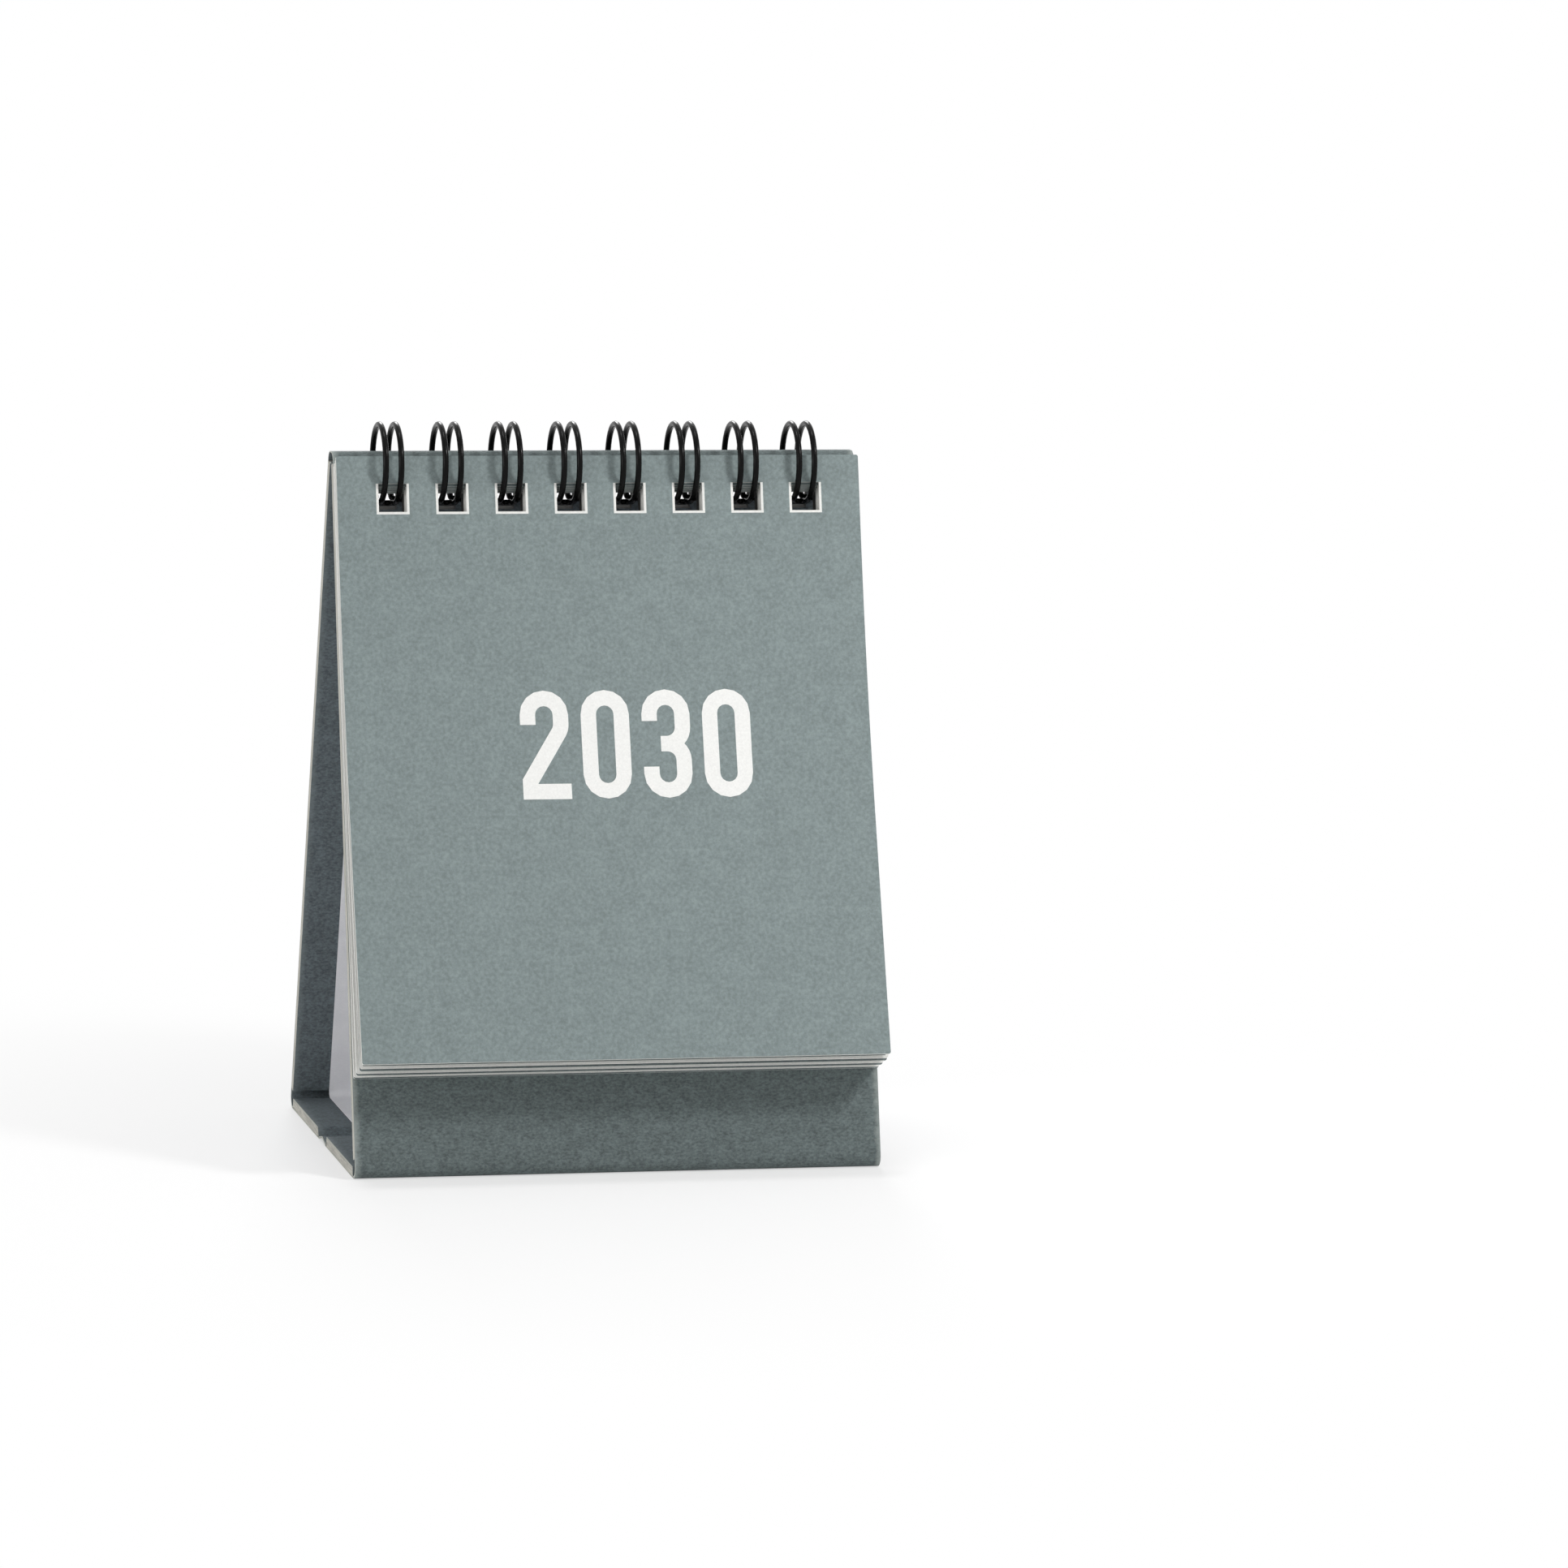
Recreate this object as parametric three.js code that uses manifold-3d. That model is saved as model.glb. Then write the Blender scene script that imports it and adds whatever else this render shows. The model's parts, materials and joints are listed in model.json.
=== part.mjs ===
// A small flip calendar on a folding easel stand.
// Millimetres. X runs to the right along the wire, Y runs away from the reader, Z is up.
// The origin is on the table, under the middle of the stand.

import * as THREE from "three";
import { mergeVertices } from "three/addons/utils/BufferGeometryUtils.js";
import Module from "manifold-3d";

const wasm = await Module();
wasm.setup();

// Overall sizes
const WIDTH = 75; // boards, wrap and sheets, along the wire
const DEPTH = 55; // foot to foot on the table
const STAND_HEIGHT = 98.7; // table to the fold over the top
const LOOP_RISE = 4.3; // wire loops above that fold

// Boards and papers of the stand
const BOARD = 1.2; // greyboard
const PAPER = 0.15; // wrap outside, lining inside
const GLUE = 0.03; // glue line between paper and board
const TOP_GAP = 0.3; // air between the linings at the top ends of the boards
const FOOT_FOLD = 1.6; // radius of the wrap round each foot
const TOP_FOLD = 1.6; // radius of the wrap over the top
const TOP_ROOM = 1.3; // fold hollow above the top ends of the boards
const FOOT_ROOM = 2.2; // fold hollow beside the lower ends of the boards
const GROOVE = 6; // paper hinge between the two base boards
const GROOVE_SLOPE = 0.7; // run of the lining down the edge of a base board
const RIDGE = 0.6; // rise of the crease in the middle of that hinge
const FOLD_STEPS = 4; // facets round a fold or a corner

// Wire binding, three loops to the inch
const WIRE = 0.85;
const RING_RADIUS = 5.5; // centre line of the wire
const LOOPS = 8;
const LOOP_PITCH = 25.4 / 3;
const LEG_SPACING = 2.2; // between the two legs of one loop
const WIRE_BEND = 0.7; // corners of the wire at the closure
const CLOSURE_GAP = 0.8; // air between loop tips and root bars
const RING_SETBACK = 0.3; // rings behind the middle of stand and sheets
const WIRE_SIDES = 6;
const RING_STEPS = 20;
const BEND_STEPS = 3;

// Punched holes
const HOLE = 4; // square
const HOLE_SLACK = 0.15; // a sheet's hole edge above the wire that carries it

// Sheets
const MONTH_SHEETS = 6;
const SHEET_HEIGHT = 86;
const SHEET = 0.35; // card
const SHEET_SINK = 0.04; // bond of one month sheet to the next along the wire
const SHEET_MARGIN = 3.9; // top edge to hole
const SHEET_CORNER = 0.8;
const STACK_GAP = 0.05; // last sheet off the stand
const COVER_GAP = 0.16; // cover off the first month sheet
const FAN_STEP = THREE.MathUtils.degToRad(1.05); // each sheet ends leaning out more than the last
const CURL_START = 9; // below the wire, where the sheets begin to curl forwards
const CURL_LENGTH = 36;
const CURL_STEPS = 6;

// Values that follow
const PANEL = BOARD + 2 * (PAPER + GLUE);
const TOP_DEPTH = 2 * PANEL + TOP_GAP;
const LEAN = panelLean();
const FOOT_REACH = TOP_DEPTH / 2 + STAND_HEIGHT * Math.tan(LEAN); // sharp corner of the foot
const PANEL_LENGTH = STAND_HEIGHT / Math.cos(LEAN);
const STACK = STACK_GAP + MONTH_SHEETS * (SHEET - SHEET_SINK) + COVER_GAP + SHEET;
const RING_Y = RING_SETBACK - STACK / 2;
const RING_Z = STAND_HEIGHT + LOOP_RISE - RING_RADIUS - WIRE / 2;
const FIRST_LOOP_X = (-(LOOPS - 1) * LOOP_PITCH) / 2;

// Materials
const paint = (color, roughness, metalness = 0) =>
  new THREE.MeshStandardMaterial({ color, roughness, metalness });
const WRAP_PAPER = paint("#5b6566", 0.85);
const LINING_PAPER = paint("#4f5a5d", 0.9);
const GREYBOARD = paint("#a9aaa0", 0.95);
const COVER_CARD = paint("#82908f", 0.8);
const MONTH_CARD = paint("#d9dad4", 0.85);
const BLACK_WIRE = paint("#0b0b0b", 0.35, 0.6);

// A panel leans so that its outer face runs from the top corner to touch the round foot,
// whose foremost point stands at half the depth.
function panelLean() {
  const run = (DEPTH - TOP_DEPTH) / 2 - FOOT_FOLD;
  const rise = STAND_HEIGHT - FOOT_FOLD;
  return Math.atan2(run, rise) + Math.asin(FOOT_FOLD / Math.hypot(run, rise));
}

// The two leaning panels. side is -1 for the front and 1 for the back. along runs up the
// panel's outer face from its foot corner, and inward goes square to that face into the stand.

function panelPoint(side, along, inward) {
  const reach = FOOT_REACH - along * Math.sin(LEAN) - inward * Math.cos(LEAN);
  const rise = along * Math.cos(LEAN) - inward * Math.sin(LEAN);
  return new THREE.Vector2(side * reach, rise);
}

// How far the ring's centre lies inside a panel's outer face, and how far up that face.
function ringOnPanel(side) {
  const toFoot = FOOT_REACH - side * RING_Y;
  return {
    inward: toFoot * Math.cos(LEAN) - RING_Z * Math.sin(LEAN),
    along: toFoot * Math.sin(LEAN) + RING_Z * Math.cos(LEAN),
  };
}

// Where the wire goes through a plane that lies this far from the ring's centre:
// the drop below the foot of the perpendicular.
const ringDrop = (distance) => Math.sqrt(RING_RADIUS ** 2 - distance ** 2);

function wireOnPanel(side) {
  const ring = ringOnPanel(side);
  return ring.along - ringDrop(ring.inward - PANEL / 2);
}

// Both panels are punched together while the stand lies flat, so one height serves both.
const PANEL_HOLE = (wireOnPanel(-1) + wireOnPanel(1)) / 2;

// Solids

function solidOf(geometry) {
  const bare = geometry.clone();
  bare.deleteAttribute("normal");
  bare.deleteAttribute("uv");
  const merged = mergeVertices(bare);
  return new wasm.Manifold(
    new wasm.Mesh({
      numProp: 3,
      vertProperties: new Float32Array(merged.attributes.position.array),
      triVerts: new Uint32Array(merged.index.array),
    }),
  );
}

function geometryOf(solid) {
  const mesh = solid.getMesh();
  const geometry = new THREE.BufferGeometry();
  geometry.setAttribute("position", new THREE.BufferAttribute(mesh.vertProperties, 3));
  geometry.setIndex(new THREE.BufferAttribute(mesh.triVerts, 1));
  const flat = geometry.toNonIndexed();
  flat.computeVertexNormals();
  return flat;
}

// A side-view shape, drawn in Y and Z, pulled along X over the full width.
function acrossWidth(shape) {
  const geometry = new THREE.ExtrudeGeometry(shape, { depth: WIDTH, bevelEnabled: false });
  geometry.translate(0, 0, -WIDTH / 2);
  const axes = new THREE.Matrix4().makeBasis(
    new THREE.Vector3(0, 1, 0),
    new THREE.Vector3(0, 0, 1),
    new THREE.Vector3(1, 0, 0),
  );
  return geometry.applyMatrix4(axes);
}

// Outlines

const cross = (a, b) => a.x * b.y - a.y * b.x;

// Every edge of a counter-clockwise outline moved inwards by the same distance.
function inset(corners, distance) {
  return corners.map((corner, i) => {
    const before = corners[(i + corners.length - 1) % corners.length];
    const after = corners[(i + 1) % corners.length];
    const into = corner.clone().sub(before).normalize();
    const out = after.clone().sub(corner).normalize();
    const turn = cross(into, out);
    const slide = (into.dot(out) - 1) / turn;
    const normal = new THREE.Vector2(-into.y, into.x);
    return corner.clone().addScaledVector(normal, distance).addScaledVector(into, distance * slide);
  });
}

// The same outline with its corners rounded by the radii given, zero for a sharp one.
function rounded(corners, radii) {
  return corners.flatMap((corner, i) => {
    if (radii[i] === 0) return [corner];
    const before = corners[(i + corners.length - 1) % corners.length];
    const after = corners[(i + 1) % corners.length];
    const into = corner.clone().sub(before).normalize();
    const out = after.clone().sub(corner).normalize();
    const turn = Math.atan2(cross(into, out), into.dot(out));
    const start = corner.clone().addScaledVector(into, -radii[i] * Math.tan(turn / 2));
    const hub = start.clone().addScaledVector(new THREE.Vector2(-into.y, into.x), radii[i]);
    return Array.from({ length: FOLD_STEPS + 1 }, (_, k) =>
      start.clone().rotateAround(hub, (turn * k) / FOLD_STEPS),
    );
  });
}

// Side view of the wrap's outer face: front foot, crease under the base, rear foot, top fold.
function wrapCorners() {
  return [
    new THREE.Vector2(-FOOT_REACH, 0),
    new THREE.Vector2(-GROOVE / 2, 0),
    new THREE.Vector2(0, RIDGE),
    new THREE.Vector2(GROOVE / 2, 0),
    new THREE.Vector2(FOOT_REACH, 0),
    new THREE.Vector2(TOP_DEPTH / 2, STAND_HEIGHT),
    new THREE.Vector2(-TOP_DEPTH / 2, STAND_HEIGHT),
  ];
}

function wrapRadii(depth) {
  const foot = FOOT_FOLD - depth;
  const top = TOP_FOLD - depth;
  return [foot, 0, 0, 0, foot, top, top];
}

// Side view of the lining's outer face: it dips to the wrap between the base boards.
function liningCorners() {
  const floor = PANEL - PAPER;
  const wrap = PAPER + GLUE;
  const slope = GROOVE / 2 + GROOVE_SLOPE;
  const room = GROOVE / 2 - GLUE;
  const ceiling = PANEL_LENGTH - TOP_ROOM;
  const inner = (side, along) => panelPoint(side, along, PANEL - PAPER);
  const heel = floor / Math.cos(LEAN) + (PANEL - PAPER) * Math.tan(LEAN);
  return [
    inner(-1, heel),
    new THREE.Vector2(-slope, floor),
    new THREE.Vector2(-room, wrap),
    new THREE.Vector2(0, wrap + RIDGE),
    new THREE.Vector2(room, wrap),
    new THREE.Vector2(slope, floor),
    inner(1, heel),
    inner(1, ceiling),
    inner(-1, ceiling),
  ];
}

// Square holes along the wire

const loopX = (i) => FIRST_LOOP_X + i * LOOP_PITCH;

// Cutters that reach this far to both sides of a plane with the given axes and centre.
function holeCutters(axes, centre, reach) {
  return Array.from({ length: LOOPS }, (_, i) => {
    const box = new THREE.BoxGeometry(HOLE, HOLE, 2 * reach).applyMatrix4(axes);
    return solidOf(box.translate(loopX(i), centre.x, centre.y));
  });
}

// The way up a leaning panel, in the side view.
const panelUp = (side) => panelPoint(side, 1, 0).sub(panelPoint(side, 0, 0));

// Axes with the second up a leaning panel and the third square out of it.
function panelAxes(side) {
  const up = panelUp(side);
  return new THREE.Matrix4().makeBasis(
    new THREE.Vector3(-side, 0, 0),
    new THREE.Vector3(0, up.x, up.y),
    new THREE.Vector3(0, side * Math.cos(LEAN), Math.sin(LEAN)),
  );
}

// The holes of one leaning panel.
function panelCutters(side) {
  const reach = PANEL / 2 + TOP_GAP + PAPER;
  return holeCutters(panelAxes(side), panelPoint(side, PANEL_HOLE, PANEL / 2), reach);
}

const punched = (geometry) =>
  geometryOf([...panelCutters(-1), ...panelCutters(1)].reduce(
    (solid, cutter) => solid.subtract(cutter),
    solidOf(geometry),
  ));

// Stand

function outerWrap() {
  const shape = new THREE.Shape(rounded(wrapCorners(), wrapRadii(0)));
  shape.holes.push(new THREE.Path(rounded(inset(wrapCorners(), PAPER), wrapRadii(PAPER))));
  return punched(acrossWidth(shape));
}

function innerLining() {
  const corners = liningCorners();
  const shape = new THREE.Shape(corners);
  shape.holes.push(new THREE.Path(inset(corners, PAPER)));
  return punched(acrossWidth(shape));
}

function panelBoard(side) {
  const from = FOOT_ROOM;
  const to = PANEL_LENGTH - TOP_ROOM - PAPER - GLUE;
  const skin = PAPER + GLUE;
  const shape = new THREE.Shape([
    panelPoint(side, from, skin),
    panelPoint(side, to, skin),
    panelPoint(side, to, skin + BOARD),
    panelPoint(side, from, skin + BOARD),
  ]);
  return punched(acrossWidth(shape));
}

function baseBoard(side) {
  const skin = PAPER + GLUE;
  const near = side * (GROOVE / 2 + GROOVE_SLOPE);
  const far = side * (DEPTH / 2 - FOOT_ROOM);
  const shape = new THREE.Shape([
    new THREE.Vector2(near, skin),
    new THREE.Vector2(far, skin),
    new THREE.Vector2(far, skin + BOARD),
    new THREE.Vector2(near, skin + BOARD),
  ]);
  return acrossWidth(shape);
}

// Sheets. Each hangs from the wire where the ring crosses its plane. Numbered from the
// last month sheet, 0, forwards.

const COVER_NUMBER = MONTH_SHEETS;

// How far a sheet's middle lies in front of the front panel's outer face.
function sheetOutward(number) {
  const inStack = STACK_GAP + SHEET / 2 + number * (SHEET - SHEET_SINK);
  return number === COVER_NUMBER ? inStack + SHEET_SINK + COVER_GAP : inStack;
}

// Where the wire carries a sheet, and the way up along it there.
function hangingPoint(number) {
  const ring = ringOnPanel(-1);
  const outward = sheetOutward(number);
  return panelPoint(-1, ring.along - ringDrop(ring.inward + outward), -outward);
}

// The top edge of a sheet's holes above the wire's middle. The wire goes through at a slant,
// most of all through the cover.
function holeTopOverWire() {
  const slant = Math.asin((ringOnPanel(-1).inward + sheetOutward(COVER_NUMBER)) / RING_RADIUS);
  return WIRE / 2 / Math.cos(slant) + (SHEET / 2) * Math.tan(slant) + HOLE_SLACK;
}

// The middle line of a sheet, seen from the side, from its top edge down to its bottom edge:
// straight beside the panel at first, then curling out to its own lean.
function sheetLine(number) {
  const top = holeTopOverWire() + SHEET_MARGIN;
  const down = (lean) => new THREE.Vector2(-Math.sin(lean), -Math.cos(lean));
  const fan = number * FAN_STEP;
  const steps = [{ length: top + CURL_START, lean: LEAN }];
  for (let k = 1; k <= CURL_STEPS; k += 1) {
    steps.push({ length: CURL_LENGTH / CURL_STEPS, lean: LEAN + (fan * k) / (CURL_STEPS + 1) });
  }
  steps.push({ length: SHEET_HEIGHT - top - CURL_START - CURL_LENGTH, lean: LEAN + fan });
  const line = [hangingPoint(number).addScaledVector(down(LEAN), -top)];
  steps.forEach(({ length, lean }) => {
    line.push(line.at(-1).clone().addScaledVector(down(lean), length));
  });
  return line;
}

// The two faces of a sheet, half its thickness to each side of the line. The ends are square.
function sheetSide(number) {
  const line = sheetLine(number);
  const face = (side) =>
    line.map((point, i) => {
      const into = point.clone().sub(line[Math.max(i - 1, 0)]).normalize();
      const out = line[Math.min(i + 1, line.length - 1)].clone().sub(point).normalize();
      const along = into.add(out).normalize();
      return point.clone().add(new THREE.Vector2(along.y, -along.x).multiplyScalar((side * SHEET) / 2));
    });
  return new THREE.Shape([...face(1), ...face(-1).reverse()]);
}

// Seen from the front, a sheet has small round corners.
function sheetFront(number) {
  const line = sheetLine(number);
  const reach = SHEET / 2;
  const corners = [
    new THREE.Vector2(-WIDTH / 2, line.at(-1).y - reach),
    new THREE.Vector2(WIDTH / 2, line.at(-1).y - reach),
    new THREE.Vector2(WIDTH / 2, line[0].y + reach),
    new THREE.Vector2(-WIDTH / 2, line[0].y + reach),
  ];
  const shape = new THREE.Shape(rounded(corners, corners.map(() => SHEET_CORNER)));
  const block = new THREE.ExtrudeGeometry(shape, { depth: 2 * DEPTH, bevelEnabled: false });
  return solidOf(block.rotateX(Math.PI / 2).translate(0, DEPTH, 0));
}

function sheetSolid(number) {
  const centre = hangingPoint(number).addScaledVector(panelUp(-1), holeTopOverWire() - HOLE / 2);
  const cutters = holeCutters(panelAxes(-1), centre, SHEET);
  const sheet = solidOf(acrossWidth(sheetSide(number)));
  return cutters.reduce((solid, cutter) => solid.subtract(cutter), sheet.intersect(sheetFront(number)));
}

function monthSheets() {
  const sheets = Array.from({ length: MONTH_SHEETS }, (_, number) => sheetSolid(number));
  return geometryOf(sheets.reduce((stack, sheet) => stack.add(sheet)));
}

const coverSheet = () => geometryOf(sheetSolid(COVER_NUMBER));

// Twin-loop wire: one length of wire, bent into a comb of hairpins and closed round.
// turn is 0 at the front of the ring, a quarter turn at its top.

function ringPoint(x, turn) {
  const y = RING_Y - RING_RADIUS * Math.cos(turn);
  const z = RING_Z + RING_RADIUS * Math.sin(turn);
  return new THREE.Vector3(x, y, z);
}

// The turn, below the ring's centre, where the ring is this far behind the stand's middle.
const turnBelow = (y) => -Math.acos((RING_Y - y) / RING_RADIUS);

function wireRoute() {
  const closure = (WIRE + CLOSURE_GAP) / 2;
  const tip = turnBelow(-closure);
  const root = turnBelow(closure) + 2 * Math.PI;
  const bend = WIRE_BEND / RING_RADIUS;
  const half = LEG_SPACING / 2;
  const points = [];
  const corner = (x, side, turn, up, leaving) => {
    for (let k = 0; k <= BEND_STEPS; k += 1) {
      const part = leaving ? 1 - k / BEND_STEPS : k / BEND_STEPS;
      const angle = (part * Math.PI) / 2;
      const across = x + side * WIRE_BEND * (1 - Math.sin(angle));
      points.push(ringPoint(across, turn + up * bend * (1 - Math.cos(angle))));
    }
  };
  const leg = (x, from, to) => {
    for (let k = 1; k < RING_STEPS; k += 1) {
      points.push(ringPoint(x, THREE.MathUtils.lerp(from, to, k / RING_STEPS)));
    }
  };
  const rootBar = (LOOP_PITCH - LEG_SPACING) / 2;
  points.push(ringPoint(loopX(0) - half - rootBar, root));
  for (let i = 0; i < LOOPS; i += 1) {
    const left = loopX(i) - half;
    const right = loopX(i) + half;
    corner(left, -1, root, -1, false);
    leg(left, root - bend, tip + bend);
    corner(left, 1, tip, 1, true);
    corner(right, -1, tip, 1, false);
    leg(right, tip + bend, root - bend);
    corner(right, 1, root, -1, true);
  }
  points.push(ringPoint(loopX(LOOPS - 1) + half + rootBar, root));
  return points;
}

// A path that steps from one given point to the next.
class Route extends THREE.Curve {
  constructor(points) {
    super();
    this.points = points;
  }

  getPoint(t, target = new THREE.Vector3()) {
    const place = t * (this.points.length - 1);
    const i = Math.min(Math.floor(place), this.points.length - 2);
    return target.lerpVectors(this.points[i], this.points[i + 1], place - i);
  }

  getUtoTmapping(u) {
    return u;
  }
}

function twinLoopWire() {
  const points = wireRoute();
  const section = new THREE.Shape();
  for (let k = 0; k < WIRE_SIDES; k += 1) {
    const angle = (2 * Math.PI * k) / WIRE_SIDES;
    const x = (WIRE / 2) * Math.cos(angle);
    const y = (WIRE / 2) * Math.sin(angle);
    if (k === 0) section.moveTo(x, y);
    else section.lineTo(x, y);
  }
  section.closePath();
  const settings = { steps: points.length - 1, extrudePath: new Route(points), bevelEnabled: false };
  return new THREE.ExtrudeGeometry(section, settings);
}

// The calendar

function piece(name, geometry, material) {
  const mesh = new THREE.Mesh(geometry, material);
  mesh.name = name;
  return mesh;
}

const stand = new THREE.Group();
stand.add(piece("outer_wrap", outerWrap(), WRAP_PAPER));
stand.add(piece("inner_lining", innerLining(), LINING_PAPER));
stand.add(piece("front_board", panelBoard(-1), GREYBOARD));
stand.add(piece("back_board", panelBoard(1), GREYBOARD));
stand.add(piece("front_base_board", baseBoard(-1), GREYBOARD));
stand.add(piece("rear_base_board", baseBoard(1), GREYBOARD));

const calendar = new THREE.Group();
calendar.add(stand);
calendar.add(piece("twin_loop_wire", twinLoopWire(), BLACK_WIRE));
calendar.add(piece("month_sheets", monthSheets(), MONTH_CARD));
calendar.add(piece("cover_sheet", coverSheet(), COVER_CARD));

// The cover hangs out past the foot, so the middle of the whole lies in front of the stand's.
const coverFront = calendar.getObjectByName("cover_sheet").geometry;
coverFront.computeBoundingBox();
calendar.position.y = -(coverFront.boundingBox.min.y + DEPTH / 2) / 2;

export default calendar;
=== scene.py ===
# %% [markdown]
# # A small flip calendar on a card easel
#
# The calendar is 75 mm wide and 103 mm high. A strip of greyboard is wrapped in grey-green
# paper and folded to a tent. Black twin-loop wire runs through a row of square holes along its
# top and carries a cover and six month sheets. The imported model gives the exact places; this
# lesson makes every skin, sheet and loop of wire again with finer folds, and gives each its
# paper, print or coating. The units are metres. X runs along the wire and Y away from the reader.

# %% Load the fixed frame
import json
import math
import bmesh
import bpy
from mathutils import Matrix, Vector


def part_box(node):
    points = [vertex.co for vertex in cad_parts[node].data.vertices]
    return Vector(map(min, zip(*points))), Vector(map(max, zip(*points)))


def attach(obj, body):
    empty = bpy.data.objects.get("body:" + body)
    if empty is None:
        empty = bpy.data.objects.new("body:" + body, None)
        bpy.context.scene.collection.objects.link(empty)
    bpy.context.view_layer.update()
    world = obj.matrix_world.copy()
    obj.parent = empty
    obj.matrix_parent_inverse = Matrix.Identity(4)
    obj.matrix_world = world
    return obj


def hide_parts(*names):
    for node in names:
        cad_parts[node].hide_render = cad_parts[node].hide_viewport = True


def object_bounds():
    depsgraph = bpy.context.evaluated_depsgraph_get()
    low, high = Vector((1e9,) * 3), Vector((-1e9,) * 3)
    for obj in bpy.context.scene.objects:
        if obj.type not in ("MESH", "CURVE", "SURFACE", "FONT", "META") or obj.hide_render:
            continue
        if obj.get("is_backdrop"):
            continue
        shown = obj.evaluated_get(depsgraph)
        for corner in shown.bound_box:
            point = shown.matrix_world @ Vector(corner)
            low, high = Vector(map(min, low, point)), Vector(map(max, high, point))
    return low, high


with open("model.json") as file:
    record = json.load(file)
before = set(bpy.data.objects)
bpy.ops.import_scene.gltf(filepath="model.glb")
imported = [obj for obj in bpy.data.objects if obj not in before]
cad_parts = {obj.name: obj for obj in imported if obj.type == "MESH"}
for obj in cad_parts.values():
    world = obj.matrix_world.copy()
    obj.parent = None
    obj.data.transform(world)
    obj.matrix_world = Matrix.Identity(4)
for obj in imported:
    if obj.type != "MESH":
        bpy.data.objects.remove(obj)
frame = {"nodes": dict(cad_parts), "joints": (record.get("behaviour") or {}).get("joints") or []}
cad_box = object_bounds()
print("solids in the frame:", sorted(frame["nodes"]))

# %% [markdown]
# ## The sizes that everything hangs on
#
# The real stand is cut and folded from a few sizes, and so is this one. They are kept together
# here in metres. The middle of the stand and the middle of the rings come from the packed
# model, so nothing is fitted by eye.

# %% Sizes of the stand and the binding
MM = 0.001
WIDTH = 75 * MM
STAND_HEIGHT = 98.7 * MM
STAND_DEPTH = 55 * MM
BOARD = 1.2 * MM
PAPER = 0.15 * MM
GLUE = 0.03 * MM
PANEL = BOARD + 2 * (PAPER + GLUE)
TOP_DEPTH = 2 * PANEL + 0.3 * MM
FOLD = 1.6 * MM
GROOVE = 6 * MM
RIDGE = 0.6 * MM

LOOPS = 8
PITCH = 25.4 * MM / 3
HOLE = 4 * MM
WIRE = 0.85 * MM
RING_RADIUS = 5.5 * MM

wrap_low, wrap_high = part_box("outer_wrap")
STAND_Y = (wrap_low.y + wrap_high.y) / 2
RING = Vector((0, *frame["joints"][0]["pos_m"][1:]))
LOOP_X = [(i - (LOOPS - 1) / 2) * PITCH for i in range(LOOPS)]

run = (STAND_DEPTH - TOP_DEPTH) / 2 - FOLD
rise = STAND_HEIGHT - FOLD
LEAN = math.atan2(run, rise) + math.asin(FOLD / math.hypot(run, rise))
FOOT_REACH = TOP_DEPTH / 2 + STAND_HEIGHT * math.tan(LEAN)
print(f"panels lean {math.degrees(LEAN):.2f} degrees, stand centred on y = {STAND_Y / MM:.2f} mm")

# %% [markdown]
# ## Camera
#
# The picture is taken from a little left of the middle and a little above the table, with a
# long lens that keeps the edges of the card almost parallel. The camera stands off the middle
# of the calendar at that angle and is then turned slightly, so that the calendar sits left of
# the middle of the frame. Turning it keeps the lens shift at zero.

# %% Place the camera
IMAGE = 1932
AZIMUTH, ELEVATION, ROLL = math.radians(-11.65), math.radians(8.53), math.radians(1.0)
DISTANCE, FOCAL_PIXELS = 1.1, 9543
TARGET, TARGET_PIXEL = Vector((0, 0, 0.05)), (727, 978)

back = Vector((
    math.sin(AZIMUTH) * math.cos(ELEVATION),
    -math.cos(AZIMUTH) * math.cos(ELEVATION),
    math.sin(ELEVATION),
))
level = back.cross(Vector((0, 0, -1))).normalized()
right = Matrix.Rotation(ROLL, 3, back) @ level
up = back.cross(right)
aside = (IMAGE / 2 - TARGET_PIXEL[0]) / FOCAL_PIXELS
above = (TARGET_PIXEL[1] - IMAGE / 2) / FOCAL_PIXELS
forward = (-back + right * aside + up * above).normalized()
right = (right - forward * right.dot(forward)).normalized()

camera_data = bpy.data.cameras.new("calendar_camera")
camera_data.lens = camera_data.sensor_width * FOCAL_PIXELS / IMAGE
camera_data.clip_start, camera_data.clip_end = 0.05, 20
camera = bpy.data.objects.new("calendar_camera", camera_data)
bpy.context.collection.objects.link(camera)
turn = Matrix((right, right.cross(forward), -forward)).transposed().to_4x4()
camera.matrix_world = Matrix.Translation(TARGET + back * DISTANCE) @ turn
bpy.context.scene.camera = camera
print(f"lens {camera_data.lens:.0f} mm at {DISTANCE} m")

# %% [markdown]
# ## Helpers for materials
#
# Every finish below is a small node tree. A few helpers keep those trees readable: one places
# a node and sets its sockets, one gives the noise of paper at a chosen grain size, one spreads
# or squeezes a range of values, and one writes a colour the way a paint shop names it, as three
# numbers from 0 to 255.

# %% Colour, node and grain helpers
def colour(red, green, blue):
    def linear(value):
        value /= 255
        return value / 12.92 if value <= 0.04045 else ((value + 0.055) / 1.055) ** 2.4
    return (linear(red), linear(green), linear(blue), 1)


def node(tree, kind, inputs=(), **settings):
    made = tree.nodes.new(kind)
    for name, value in settings.items():
        setattr(made, name, value)
    for socket, value in dict(inputs).items():
        if isinstance(value, bpy.types.NodeSocket):
            tree.links.new(value, made.inputs[socket])
        else:
            made.inputs[socket].default_value = value
    return made


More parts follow.
